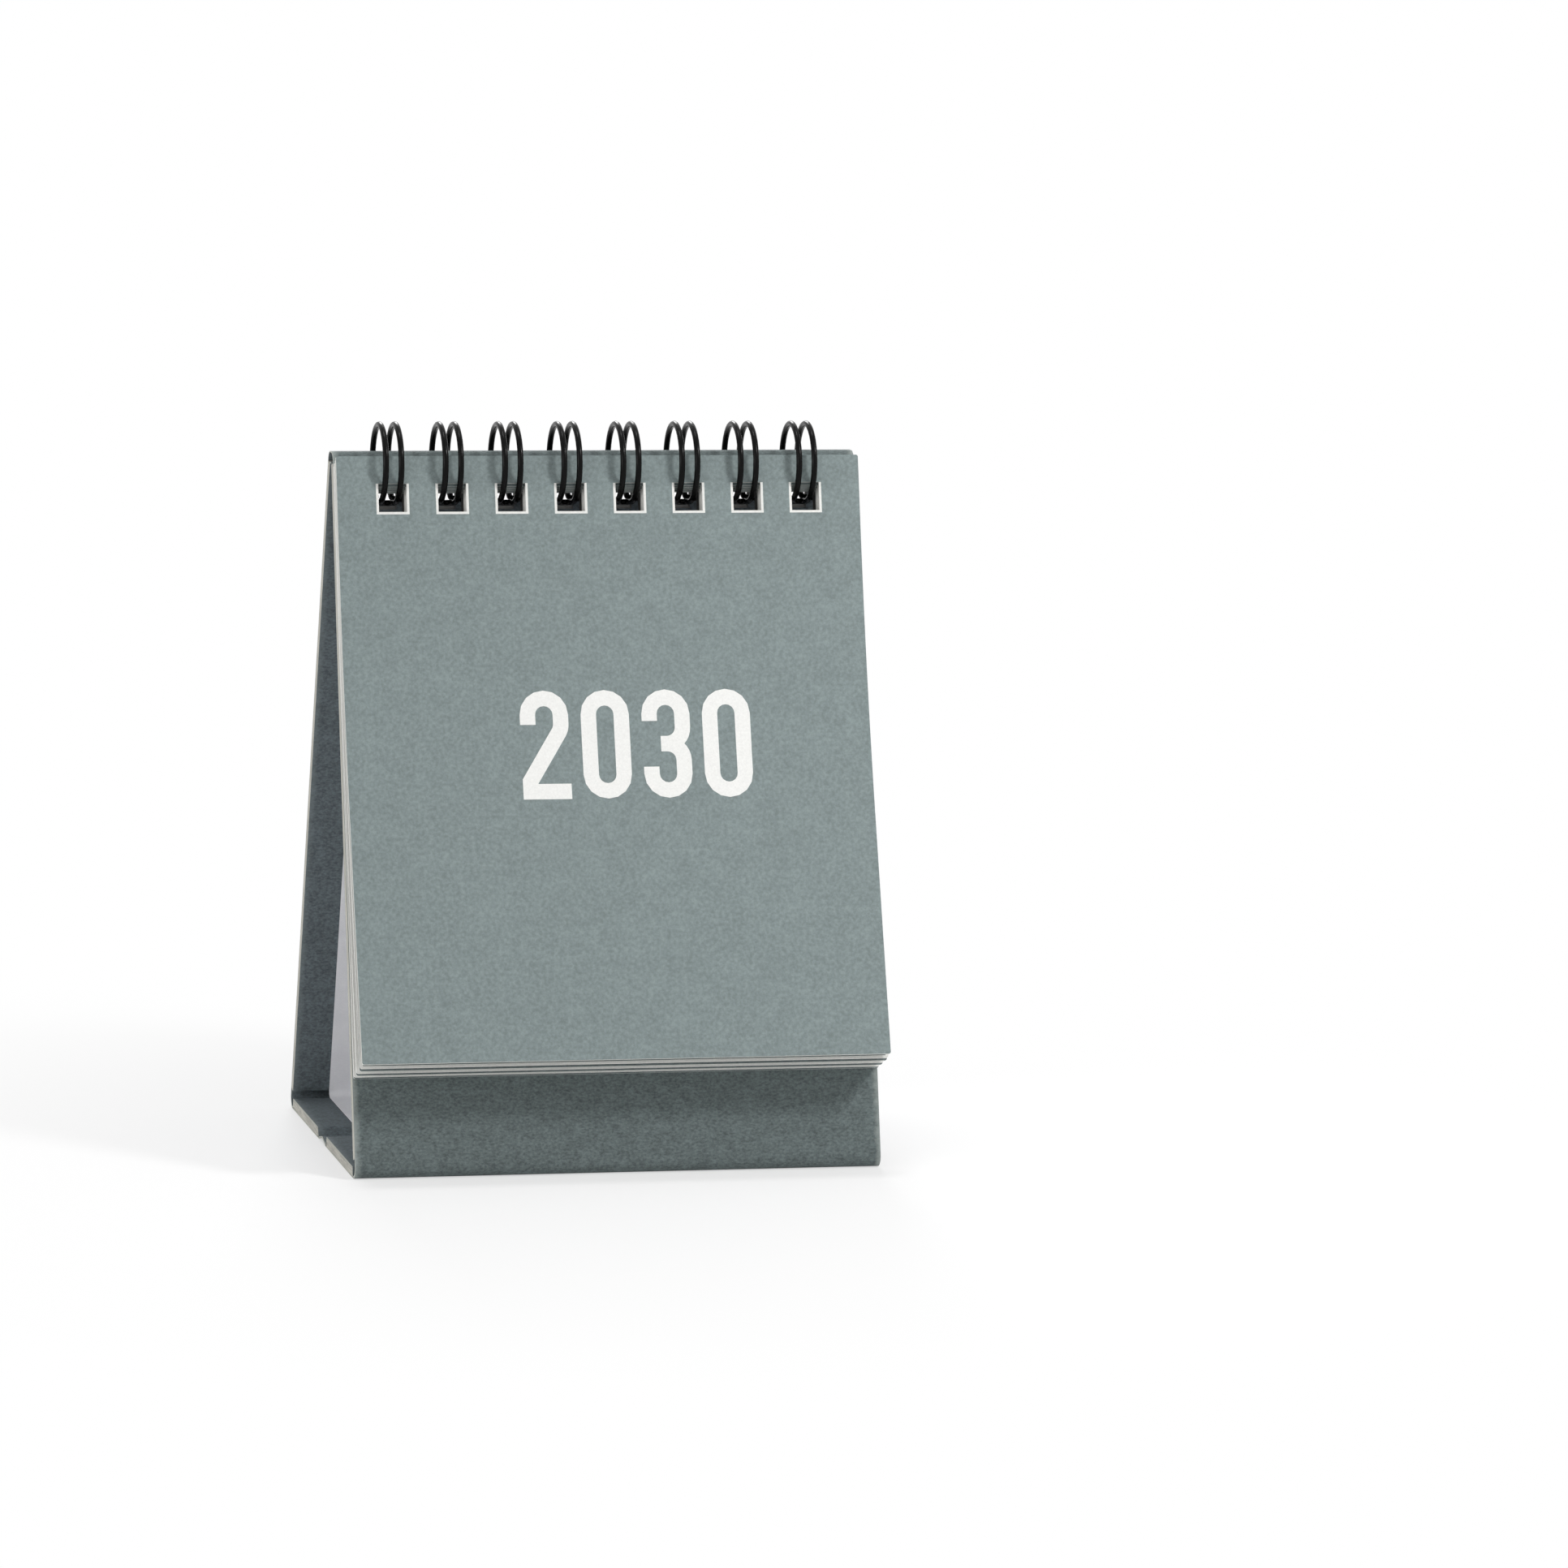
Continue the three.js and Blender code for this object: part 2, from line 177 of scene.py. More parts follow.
def grain(tree, place, size, stretch=(1, 1, 1), detail=2.0, roughness=0.5):
    fit = node(tree, "ShaderNodeMapping", {"Vector": place, "Scale": [s / size for s in stretch]})
    noise = node(tree, "ShaderNodeTexNoise", {
        "Vector": fit.outputs["Vector"], "Scale": 1.0, "Detail": detail, "Roughness": roughness,
    })
    return noise.outputs["Fac"]


def remap(tree, value, low, high, to_low, to_high):
    made = node(tree, "ShaderNodeMapRange", {
        "Value": value, "From Min": low, "From Max": high, "To Min": to_low, "To Max": to_high,
    })
    return made.outputs["Result"]


def math_node(tree, operation, *values):
    made = node(tree, "ShaderNodeMath", dict(enumerate(values)), operation=operation)
    return made.outputs["Value"]


def blend_colours(tree, amount, first, second):
    mix = node(tree, "ShaderNodeMix", {0: amount, 6: first, 7: second}, data_type="RGBA")
    return mix.outputs[2]


def new_material(name):
    made = bpy.data.materials.new(name)
    made.use_nodes = True
    made.node_tree.nodes.clear()
    tree = made.node_tree
    shader = node(tree, "ShaderNodeBsdfPrincipled")
    node(tree, "ShaderNodeOutputMaterial", {"Surface": shader.outputs["BSDF"]})
    place = node(tree, "ShaderNodeTexCoord").outputs["Object"]
    return made, tree, shader, place


print("material helpers ready")

# %% [markdown]
# ## Papers of the stand
#
# The stand is covered outside with a matt, dyed paper and lined inside with a darker one. Up
# close such paper is never one colour: fibres lie in clouds a millimetre or two across, single
# fibres are finer still, and the dye is thin where the paper is rubbed, along cut edges and
# folds. Noise at three sizes gives the clouds and fibres. A paler band along the cut sides is
# part rubbed dye and part painted highlight, standing in for the rounded edge catching the light.
# It comes from the distance to the cut sides, broken up with noise so that it is not a ruled line.

# %% Make the wrap and lining papers
def dyed_paper(name, dye, pale, edge_wear_and_highlight):
    made, tree, shader, place = new_material(name)
    clouds = grain(tree, place, 1.6 * MM, detail=3)
    fibres = grain(tree, place, 0.5 * MM, stretch=(1, 1.6, 1.6), detail=3, roughness=0.65)
    specks = grain(tree, place, 0.16 * MM, detail=1)
    tone = math_node(tree, "ADD", remap(tree, clouds, 0.3, 0.7, -0.15, 0.15),
                     remap(tree, fibres, 0.3, 0.7, -0.5, 0.5))
    shade = math_node(tree, "ADD", tone, 0.5)
    dark = tuple(part * 0.62 for part in dye[:3]) + (1,)
    light = tuple(part * 1.4 for part in dye[:3]) + (1,)
    body = blend_colours(tree, shade, dark, light)
    axes = node(tree, "ShaderNodeSeparateXYZ", {"Vector": place})
    side = math_node(tree, "ABSOLUTE", axes.outputs["X"])
    # Painted highlight together with wear: the cut sides turn paler, for dye worn thin and for the
    # rounded edge catching the light.
    edge_band_noise = grain(tree, place, 1.1 * MM, detail=4, roughness=0.7)
    reach = math_node(tree, "ADD", side, remap(tree, edge_band_noise, 0.3, 0.7, -0.0003, 0.0003))
    wear_and_highlight_band = remap(tree, reach, WIDTH / 2 - 0.9 * MM, WIDTH / 2 - 0.1 * MM, 0, edge_wear_and_highlight)
    tree.links.new(blend_colours(tree, wear_and_highlight_band, body, pale), shader.inputs["Base Color"])
    tree.links.new(remap(tree, fibres, 0.3, 0.7, 0.74, 0.9), shader.inputs["Roughness"])
    relief = math_node(tree, "ADD", fibres, math_node(tree, "MULTIPLY", specks, 0.5))
    bump = node(tree, "ShaderNodeBump", {"Height": relief, "Strength": 0.35, "Distance": 0.03 * MM})
    tree.links.new(bump.outputs["Normal"], shader.inputs["Normal"])
    shader.inputs["Specular IOR Level"].default_value = 0.3
    return made


wrap_paper = dyed_paper("wrap_paper", colour(98, 108, 108), colour(160, 167, 164), 0.7)
lining_paper = dyed_paper("lining_paper", colour(98, 107, 111), colour(134, 143, 144), 0.5)
print("papers:", wrap_paper.name, lining_paper.name)

# %% [markdown]
# The cut edge of any of these papers shows its undyed core, a thin cream line. The greyboard
# between them is pressed from waste paper in layers, so its cut side shows streaks along the
# board with darker flecks. Stretching the noise along the board, and squeezing it across the
# thickness, gives those layers. Each board lies at its own angle, so the pattern is turned
# with it. In the row of holes the cut is coloured nearly black. This is painted shade: the real
# board isn't known to be dark there, and the colour makes the holes look deep.

# %% Make the cut edges and the greyboard
ROW_DROP, ROW_REACH = 4 * MM, 4 * MM


def painted_hole_shade(tree, place, body):
    axes = node(tree, "ShaderNodeSeparateXYZ", {"Vector": place})
    side = math_node(tree, "ABSOLUTE", axes.outputs["X"])
    inside = math_node(tree, "LESS_THAN", side, WIDTH / 2 - 0.5 * MM)
    height = math_node(tree, "SUBTRACT", axes.outputs["Z"], RING.z - ROW_DROP)
    level = math_node(tree, "ABSOLUTE", height)
    row = math_node(tree, "MULTIPLY", inside, math_node(tree, "LESS_THAN", level, ROW_REACH))
    # Painted shade: cut faces in the row of holes are mixed nine tenths of the way to near black.
    return blend_colours(tree, math_node(tree, "MULTIPLY", row, 0.9), body, colour(24, 25, 25))


def cut_core(name, tint):
    made, tree, shader, place = new_material(name)
    torn = grain(tree, place, 0.25 * MM, detail=3, roughness=0.7)
    dark = tuple(part * 0.8 for part in tint[:3]) + (1,)
    mix = blend_colours(tree, remap(tree, torn, 0.3, 0.7, 0, 1), dark, tint)
    tree.links.new(painted_hole_shade(tree, place, mix), shader.inputs["Base Color"])
    bump = node(tree, "ShaderNodeBump", {"Height": torn, "Strength": 0.3, "Distance": 0.03 * MM})
    tree.links.new(bump.outputs["Normal"], shader.inputs["Normal"])
    shader.inputs["Roughness"].default_value = 0.9
    return made


def layered_board(name, tilt):
    made, tree, shader, place = new_material(name)
    lie = node(tree, "ShaderNodeMapping", {"Vector": place, "Rotation": (tilt, 0, 0)})
    along = lie.outputs["Vector"]
    layers = grain(tree, along, 0.22 * MM, stretch=(0.12, 1, 0.06), detail=3, roughness=0.6)
    flecks = grain(tree, along, 0.4 * MM, stretch=(0.6, 1.4, 0.5), detail=4, roughness=0.75)
    body = blend_colours(tree, remap(tree, layers, 0.35, 0.65, 0, 1),
                         colour(166, 165, 158), colour(202, 200, 191))
    fleck = remap(tree, flecks, 0.58, 0.72, 0, 0.6)
    body = blend_colours(tree, fleck, body, colour(132, 129, 120))
    tree.links.new(painted_hole_shade(tree, place, body), shader.inputs["Base Color"])
    bump = node(tree, "ShaderNodeBump", {"Height": layers, "Strength": 0.5, "Distance": 0.05 * MM})
    tree.links.new(bump.outputs["Normal"], shader.inputs["Normal"])
    shader.inputs["Roughness"].default_value = 0.95
    return made


paper_core = cut_core("paper_core", colour(196, 198, 190))
board_edges = {
    "front_board": layered_board("front_greyboard", LEAN),
    "back_board": layered_board("back_greyboard", -LEAN),
    "base_boards": layered_board("base_greyboard", math.pi / 2),
}
for name in ("front_base_board", "rear_base_board"):
    frame["nodes"][name].data.materials.clear()
    frame["nodes"][name].data.materials.append(board_edges["base_boards"])
print("greyboard finishes:", [made.name for made in board_edges.values()])

# %% [markdown]
# ## Punching and finishing
#
# The wire needs a row of square holes in every panel and sheet. A punch is two cuts along the
# row and two cuts at each hole, and then the small squares are lifted out. `bisect_plane`
# makes each cut, so the neighbours share its new vertices and no crack opens. A second helper
# turns a finished bmesh into an object, gives a thin skin its thickness with Solidify, names
# the body that it moves with and shades it smooth up to a chosen angle. A set of mesh parts
# can have another order in each run, and so can the faces that an extrusion or a spin adds. So
# parts are gathered in lists that keep their order, and a piece is sorted by place at the end.

# %% Punch and finish helpers
ACROSS = Vector((1, 0, 0))


def each_once(parts):
    return list(dict.fromkeys(parts))


def cut(bm, faces, point, normal):
    parts = [*faces, *(e for f in faces for e in f.edges), *(v for f in faces for v in f.verts)]
    bmesh.ops.bisect_plane(bm, geom=each_once(parts), dist=1e-7, plane_co=point, plane_no=normal)


def punch(bm, middle, upward, rim=0, rim_material=0):
    outward = ACROSS.cross(upward)
    hole_top_edge = middle + upward * HOLE / 2

    def off(face, axis):
        return abs((face.calc_center_median() - middle).dot(axis))

    def panel(reach):
        return [f for f in bm.faces if off(f, outward) < 0.05 * MM and off(f, upward) < reach]

    def past_hole(face):
        return min(abs(face.calc_center_median().x - x) for x in LOOP_X)

    edges = (HOLE / 2 + rim, HOLE / 2) if rim else (HOLE / 2,)
    for reach in edges:
        for side in (-1, 1):
            cut(bm, panel(WIDTH), middle + upward * side * reach, upward)
    for x in LOOP_X:
        for reach in edges:
            for side in (-1, 1):
                cut(bm, panel(edges[0]), Vector((x + side * reach, 0, 0)), ACROSS)
    for face in panel(edges[0]):
        above = (face.calc_center_median() - hole_top_edge).dot(upward) > 0
        if rim and past_hole(face) < edges[0] and not above:
            face.material_index = rim_material
    squares = [f for f in panel(HOLE / 2) if past_hole(f) < HOLE / 2]
    bmesh.ops.delete(bm, geom=squares, context="FACES")
    return len(squares)


def in_order(parts, key):
    rank = {part: i for i, part in enumerate(sorted(parts, key=key))}
    parts.sort(key=rank.get)
    parts.index_update()


def finish_piece(bm, name, materials, body, wall=0, offset=0, smooth=30):
    in_order(bm.verts, lambda v: tuple(v.co))
    in_order(bm.edges, lambda e: sorted(v.index for v in e.verts))
    in_order(bm.faces, lambda f: sorted(v.index for v in f.verts))
    data = bpy.data.meshes.new(name)
    bm.to_mesh(data)
    bm.free()
    piece = bpy.data.objects.new(name, data)
    bpy.context.collection.objects.link(piece)
    for made in materials:
        data.materials.append(made)
    if wall:
        skin = piece.modifiers.new("wall", "SOLIDIFY")
        skin.thickness, skin.offset, skin.use_even_offset = wall, offset, True
        skin.material_offset = int(len(materials) > 1)
        skin.material_offset_rim = len(materials) - 1
        walled = piece.evaluated_get(bpy.context.evaluated_depsgraph_get())
        data = bpy.data.meshes.new_from_object(walled)
        piece.modifiers.clear()
        piece.data = data
        data.name = name
    data.shade_smooth()
    data.set_sharp_from_angle(angle=math.radians(smooth))
    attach(piece, body)
    print(f"{name}: {len(data.polygons)} faces")
    return piece


print("punch makes", len(LOOP_X), "holes of", round(HOLE / MM, 1), "mm")

# %% [markdown]
# ## The wrapped stand
#
# One strip of paper goes round the whole stand: under the base, with a crease in the middle
# that lets it fold flat, up round the foot, up the panel and over the top. A strip is easiest
# to make as its own edge being carried along: straight runs are an extrusion of the edge, and
# each fold is a short spin about the middle of the fold. The stand is the same front and back,
# so half of it is folded and then mirrored, and the doubles on the mirror line are merged
# before the paper gets its thickness. The holes are punched in the flat panels first.

# %% Fold the wrap
FOLD_STEPS = 14


def pull(bm, edges, step):
    made = bmesh.ops.extrude_edge_only(bm, edges=edges)["geom"]
    verts = [part for part in made if isinstance(part, bmesh.types.BMVert)]
    bmesh.ops.translate(bm, verts=verts, vec=step)
    return [part for part in made if isinstance(part, bmesh.types.BMEdge)
            and all(v in verts for v in part.verts)]


def swing(bm, edges, centre, axis, angle, steps):
    verts = each_once(v for e in edges for v in e.verts)
    made = bmesh.ops.spin(
        bm, geom=[*verts, *edges], cent=centre, axis=axis, dvec=(0, 0, 0), angle=angle,
        space=Matrix.Identity(4), steps=steps, use_merge=False, use_normal_flip=False,
        use_duplicate=False,
    )["geom_last"]
    return [part for part in made if isinstance(part, bmesh.types.BMEdge)]


FRONT_UP = Vector((0, math.sin(LEAN), math.cos(LEAN)))
FRONT_OUT = ACROSS.cross(FRONT_UP)
foot_start = FOLD * math.tan((math.pi / 2 + LEAN) / 2)
top_start = FOLD * math.tan((math.pi / 2 - LEAN) / 2)
panel_run = STAND_HEIGHT / math.cos(LEAN) - foot_start - top_start

wrap = bmesh.new()
ends = [wrap.verts.new((x, STAND_Y, RIDGE)) for x in (-WIDTH / 2, WIDTH / 2)]
edge = [wrap.edges.new(ends)]
edge = pull(wrap, edge, Vector((0, -GROOVE / 2, -RIDGE)))
edge = pull(wrap, edge, Vector((0, GROOVE / 2 - FOOT_REACH + foot_start, 0)))
foot = Vector((0, STAND_Y - FOOT_REACH + foot_start, FOLD))
edge = swing(wrap, edge, foot, ACROSS, -math.pi / 2 - LEAN, FOLD_STEPS)
edge = pull(wrap, edge, FRONT_UP * panel_run)
top = Vector((0, STAND_Y - TOP_DEPTH / 2 + top_start, STAND_HEIGHT - FOLD))
edge = swing(wrap, edge, top, ACROSS, LEAN - math.pi / 2, FOLD_STEPS)
edge = pull(wrap, edge, Vector((0, TOP_DEPTH / 2 - top_start, 0)))
print("fold ends on the middle line:", round((edge[0].verts[0].co.y - STAND_Y) / MM, 4), "mm off")

# %% Mirror, punch and give the paper its thickness
bmesh.ops.mirror(
    wrap, geom=[*wrap.verts, *wrap.edges, *wrap.faces], axis="Y", merge_dist=1e-6,
    matrix=Matrix.Translation((0, -STAND_Y, 0)),
)
bmesh.ops.remove_doubles(wrap, verts=wrap.verts, dist=1e-6)


def hole_height():
    to_foot = [FOOT_REACH - side * (RING.y - STAND_Y) for side in (-1, 1)]
    inward = [reach * math.cos(LEAN) - RING.z * math.sin(LEAN) - PANEL / 2 for reach in to_foot]
    along = [reach * math.sin(LEAN) + RING.z * math.cos(LEAN) for reach in to_foot]
    return sum(a - math.sqrt(RING_RADIUS**2 - i**2) for a, i in zip(along, inward)) / 2


for side in (-1, 1):
    upward = Vector((0, -side * math.sin(LEAN), math.cos(LEAN)))
    corner = Vector((0, STAND_Y + side * FOOT_REACH, 0))
    print("holes in a panel:", punch(wrap, corner + upward * hole_height(), upward))
bmesh.ops.recalc_face_normals(wrap, faces=wrap.faces)
stand_wrap = finish_piece(
    wrap, "stand_wrap", [wrap_paper, lining_paper, paper_core], "stand",
    wall=PAPER, offset=-1, smooth=25,
)
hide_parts("outer_wrap")

# %% [markdown]
# ## Boards and lining
#
# Inside the wrap each leaning panel is a greyboard, laid in short of the folds so that the
# stand can close. The dark lining covers the boards from inside and sinks into the gutter
# between each panel and its base board, which is why a deep shadow runs along the foot. A
# board is a flat rectangle, punched like the wrap and then thickened. The lining is pulled
# along its own route in the side view, one corner after another. Two sheets of white paper lie
# on the lining and leave a dark margin at both sides.

# %% Cut the leaning boards
GUTTER = 3.2 * MM
MARGIN = 5.3 * MM
TOP_ROOM = 1.3 * MM
CLIMB = 0.8 * MM
HEEL = 2 * MM
SLOPE = 0.15 * MM
EASE = 0.1 * MM
SKIN = PAPER + GLUE
PANEL_LENGTH = STAND_HEIGHT / math.cos(LEAN)


def rectangle(middle, upward, height):
    bm = bmesh.new()
    axes = Matrix((ACROSS * WIDTH, upward * height, ACROSS.cross(upward))).transposed().to_4x4()
    place = Matrix.Translation(middle) @ axes
    bmesh.ops.create_grid(bm, x_segments=1, y_segments=1, size=0.5, matrix=place)
    return bm


for side, name in ((-1, "front_board"), (1, "back_board")):
    upward = Vector((0, -side * math.sin(LEAN), math.cos(LEAN)))
    inward = Vector((0, -side * math.cos(LEAN), -math.sin(LEAN)))
    corner = Vector((0, STAND_Y + side * FOOT_REACH, 0)) + inward * PANEL / 2
    low, high = GUTTER, PANEL_LENGTH - TOP_ROOM - SKIN
    bm = rectangle(corner + upward * (low + high) / 2, upward, high - low)
    punch(bm, corner + upward * hole_height(), upward)
    board = finish_piece(bm, name.replace("board", "panel_board"), [board_edges[name]], "stand",
                         wall=BOARD, smooth=20)
    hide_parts(name)

# %% Pull the lining along its route
front_corner = Vector((0, STAND_Y - FOOT_REACH, 0))


def on_base(distance, height):
    return Vector((0, STAND_Y - distance, height))


def on_panel(along, inward):
    return front_corner + FRONT_UP * along - FRONT_OUT * inward


def pull_to(bm, edges, spot):
    here = edges[0].verts[0].co
    return pull(bm, edges, Vector((0, spot.y - here.y, spot.z - here.z)))


lining = bmesh.new()
under = SKIN + PAPER
ends = [lining.verts.new((x, STAND_Y, under + RIDGE)) for x in (-WIDTH / 2, WIDTH / 2)]
edge = [lining.edges.new(ends)]
edge = pull_to(lining, edge, on_base(GROOVE / 2, under))
creases = [*(edge := pull_to(lining, edge, on_base(GROOVE / 2 + CLIMB, PANEL)))]
creases += [*(edge := pull_to(lining, edge, on_base(STAND_DEPTH / 2 - HEEL - SLOPE, PANEL)))]
edge = pull_to(lining, edge, on_base(STAND_DEPTH / 2 - HEEL, under + EASE))
edge = pull_to(lining, edge, on_base(STAND_DEPTH / 2 - FOLD, under))
hub = on_base(STAND_DEPTH / 2 - FOLD, FOLD)
edge = swing(lining, edge, hub, ACROSS, -math.pi / 2 - LEAN, 8)
edge = pull_to(lining, edge, on_panel(GUTTER - EASE, under))
creases += [*(edge := pull_to(lining, edge, on_panel(GUTTER - SLOPE, PANEL)))]
edge = pull_to(lining, edge, on_panel(PANEL_LENGTH - TOP_ROOM, PANEL))
edge = pull_to(lining, edge, on_base(0, edge[0].verts[0].co.z))
bmesh.ops.bevel(
    lining, geom=creases, offset=EASE, offset_type="OFFSET", segments=3, profile=0.5,
    affect="EDGES", material=-1,
)
bmesh.ops.mirror(
    lining, geom=[*lining.verts, *lining.edges, *lining.faces], axis="Y", merge_dist=1e-6,
    matrix=Matrix.Translation((0, -STAND_Y, 0)),
)
bmesh.ops.remove_doubles(lining, verts=lining.verts, dist=1e-6)
for side in (-1, 1):
    upward = Vector((0, -side * math.sin(LEAN), math.cos(LEAN)))
    inward = Vector((0, -side * math.cos(LEAN), -math.sin(LEAN)))
    corner = Vector((0, STAND_Y + side * FOOT_REACH, 0)) + inward * PANEL
    print("holes in the lining:", punch(lining, corner + upward * hole_height(), upward))
bmesh.ops.recalc_face_normals(lining, faces=lining.faces)
stand_lining = finish_piece(
    lining, "stand_lining", [lining_paper, lining_paper, paper_core], "stand",
    wall=PAPER, offset=1, smooth=25,
)
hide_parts("inner_lining")

# %% Paste in the white sheets
def pasted_white(name):
    made, tree, shader, place = new_material(name)
    clouds = grain(tree, place, 2.4 * MM, detail=3)
    fibres = grain(tree, place, 0.3 * MM, stretch=(1, 2, 2), detail=3, roughness=0.6)
    tone = math_node(tree, "ADD", remap(tree, clouds, 0.3, 0.7, 0, 0.5),
                     remap(tree, fibres, 0.3, 0.7, 0, 0.5))
    tree.links.new(blend_colours(tree, tone, colour(232, 232, 236), colour(246, 246, 248)),
                   shader.inputs["Base Color"])
    bump = node(tree, "ShaderNodeBump", {"Height": fibres, "Strength": 0.2, "Distance": 0.02 * MM})
    tree.links.new(bump.outputs["Normal"], shader.inputs["Normal"])
    shader.inputs["Roughness"].default_value = 0.85
    return made


INLAY = 0.1 * MM
INLAY_BEND = 0.9 * MM
INLAY_TOP = 12 * MM
inlay_white = pasted_white("inlay_paper")
inlay = bmesh.new()
half = WIDTH / 2 - MARGIN
lift = PANEL + INLAY + 0.02 * MM
heel_along = (lift + lift * math.sin(LEAN)) / math.cos(LEAN)
heel_out = FOOT_REACH - heel_along * math.sin(LEAN) - lift * math.cos(LEAN)
heel_start = INLAY_BEND * math.tan((math.pi / 2 + LEAN) / 2)
start = on_base(GROOVE / 2 + CLIMB + 0.6 * MM, lift)
edge = [inlay.edges.new([inlay.verts.new((x, start.y, start.z)) for x in (-half, half)])]
edge = pull_to(inlay, edge, on_base(heel_out - heel_start, lift))
hub = on_base(heel_out - heel_start, lift + INLAY_BEND)
edge = swing(inlay, edge, hub, ACROSS, -math.pi / 2 - LEAN, 8)
edge = pull_to(inlay, edge, on_panel(PANEL_LENGTH - INLAY_TOP, lift))
bmesh.ops.recalc_face_normals(inlay, faces=inlay.faces)
bmesh.ops.mirror(
    inlay, geom=[*inlay.verts, *inlay.edges, *inlay.faces], axis="Y", merge_dist=0,
    matrix=Matrix.Translation((0, -STAND_Y, 0)),
)
finish_piece(
    inlay, "inlay_sheets", [inlay_white], "stand", wall=INLAY, smooth=25,
)

# %% [markdown]
# ## The twin-loop wire
#
# The binding is a single length of wire, bent to a comb of hairpins and closed round, so every
# loop is two legs side by side with a rounded tip. It could be a curve with a round section,
# but the wire has only four moves that repeat: a straight bar, a tight quarter bend, a long leg
# round the ring, and the half turn at the tip. So the round section itself is carried through
# them, one spin after another, which keeps every bend a true arc.

# %% Coat the wire
def coated_wire(name):
    made, tree, shader, place = new_material(name)
    peel = grain(tree, place, 0.45 * MM, detail=2)
    scuff = grain(tree, place, 1.4 * MM, detail=5, roughness=0.7)
    tint = blend_colours(tree, remap(tree, scuff, 0.45, 0.75, 0, 1),
                         colour(5, 5, 5), colour(12, 12, 12))
    tree.links.new(tint, shader.inputs["Base Color"])
    tree.links.new(remap(tree, scuff, 0.35, 0.75, 0.2, 0.32), shader.inputs["Roughness"])
    bump = node(tree, "ShaderNodeBump", {"Height": peel, "Strength": 0.12, "Distance": 0.04 * MM})
    tree.links.new(bump.outputs["Normal"], shader.inputs["Normal"])
    shader.inputs["Specular IOR Level"].default_value = 0.1
    return made


black_nylon = coated_wire("black_nylon_wire")

# %% Carry the wire's section along its route
LEG_SPACING = 2.2 * MM
BEND = 0.7 * MM
CLOSURE = WIRE + 0.8 * MM
LEG_STEPS, BEND_STEPS, TIP_STEPS, SECTION = 30, 5, 12, 12


def on_ring(x, turn):
    return Vector((x, RING.y - RING_RADIUS * math.cos(turn), RING.z + RING_RADIUS * math.sin(turn)))


def ring_axes(turn):
    outwards = Vector((0, -math.cos(turn), math.sin(turn)))
    return outwards, Vector((0, math.sin(turn), math.cos(turn)))


tip_turn = -math.acos((RING.y - STAND_Y + CLOSURE / 2) / RING_RADIUS)
root_turn = 2 * math.pi - math.acos((RING.y - STAND_Y - CLOSURE / 2) / RING_RADIUS)
tip_turn += math.asin(LEG_SPACING / 2 / RING_RADIUS)
root_turn -= math.asin(BEND / RING_RADIUS)
root_out, root_up = ring_axes(root_turn)
tip_out = ring_axes(tip_turn)[0]
bar_centre = on_ring(0, root_turn) + root_up * BEND
bar = PITCH - LEG_SPACING - 2 * BEND

wire = bmesh.new()
first = Vector((LOOP_X[0] - LEG_SPACING / 2 - BEND - bar / 2, bar_centre.y, bar_centre.z))
place = Matrix.Translation(first) @ Matrix.Rotation(math.pi / 2, 4, "Y")
bmesh.ops.create_circle(wire, cap_ends=True, segments=SECTION, radius=WIRE / 2, matrix=place)
ring_edges = list(wire.edges)
for x in LOOP_X:
    near, far = x - LEG_SPACING / 2, x + LEG_SPACING / 2
    ring_edges = pull(wire, ring_edges, ACROSS * bar / 2)
    hub = Vector((near - BEND, 0, 0)) + on_ring(0, root_turn)
    ring_edges = swing(wire, ring_edges, hub, root_out, -math.pi / 2, BEND_STEPS)
    ring_edges = swing(wire, ring_edges, RING, ACROSS, root_turn - tip_turn, LEG_STEPS)
    hub = Vector((x, 0, 0)) + on_ring(0, tip_turn)
    ring_edges = swing(wire, ring_edges, hub, tip_out, math.pi, TIP_STEPS)
    ring_edges = swing(wire, ring_edges, RING, ACROSS, tip_turn - root_turn, LEG_STEPS)
    hub = Vector((far + BEND, 0, 0)) + on_ring(0, root_turn)
    ring_edges = swing(wire, ring_edges, hub, root_out, -math.pi / 2, BEND_STEPS)
    ring_edges = pull(wire, ring_edges, ACROSS * bar / 2)
    print("loop ends at x =", round(ring_edges[0].verts[0].co.x / MM, 2),
          "z =", round(ring_edges[0].verts[0].co.z / MM, 2), "mm")

# %% Close the ends of the wire and finish it
bmesh.ops.contextual_create(wire, geom=ring_edges)
bmesh.ops.remove_doubles(wire, verts=wire.verts, dist=1e-7)
bmesh.ops.recalc_face_normals(wire, faces=wire.faces)
binding = finish_piece(wire, "wire_loops", [black_nylon], "stand", smooth=50)
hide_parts("twin_loop_wire")

# %% [markdown]
# ## Cards
#
# The cover and the month sheets are the same card, printed on the front in a matt grey-green,
# and plain on the back. Ink on card is a little uneven: it lies in
# faint clouds and shows the fine tooth of the card as tiny pale and dark specks. The cut edge
# and the holes show the white card, slightly furred by the knife.

